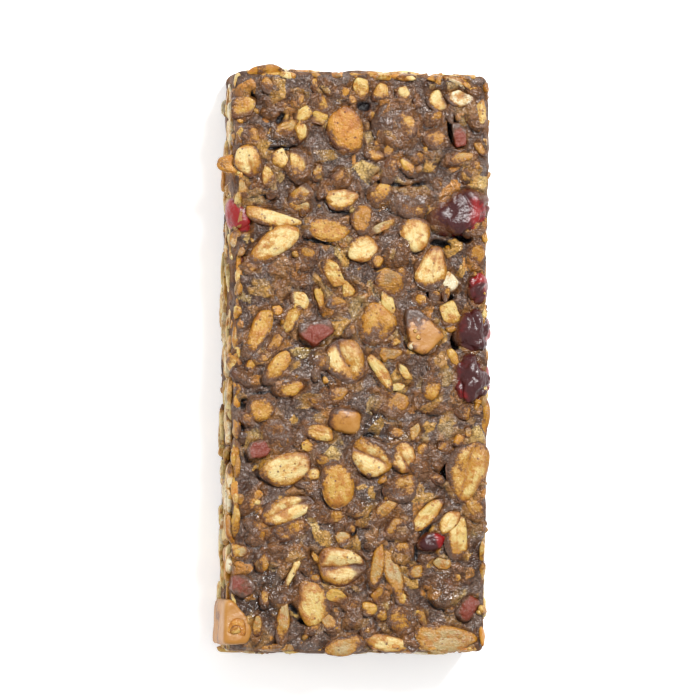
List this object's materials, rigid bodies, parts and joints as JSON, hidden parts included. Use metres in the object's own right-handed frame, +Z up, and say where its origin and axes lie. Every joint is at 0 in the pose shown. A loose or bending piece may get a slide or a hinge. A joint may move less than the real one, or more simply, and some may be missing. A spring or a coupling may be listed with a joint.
{
  "type": "snack bar",
  "caption": "Flat rectangular snack bar pressed from rolled oats, nut chips and dried fruit in a dark brown binder, uneven on top and flat below.",
  "frame": {"origin": "centre of the bounding box's underside, where the bar rests", "axes": "+Y along the bar's length, +X across its width, +Z up through its thickness"},
  "size_m": [0.0482, 0.1018, 0.0153],
  "materials": {
    "body": null,
    "berry": null,
    "caramel": null,
    "fruit": null
  },
  "bodies": {
    "root": {"bar": "body", "berry_left_rim": "berry", "berry_upper_right": "berry", "berry_right_rim": "berry", "berry_right_upper": "berry", "berry_right_lower": "berry", "berry_lower_right": "berry", "caramel_large": "caramel", "caramel_middle": "caramel", "caramel_left_wall": "caramel", "caramel_corner": "caramel", "fruit_chip_middle": "fruit", "fruit_chip_left": "fruit", "fruit_chip_lower_left": "fruit", "fruit_chip_lower_right": "fruit", "fruit_chip_left_rim": "fruit", "fruit_chip_hollow": "fruit"}
  },
  "joints": []
}
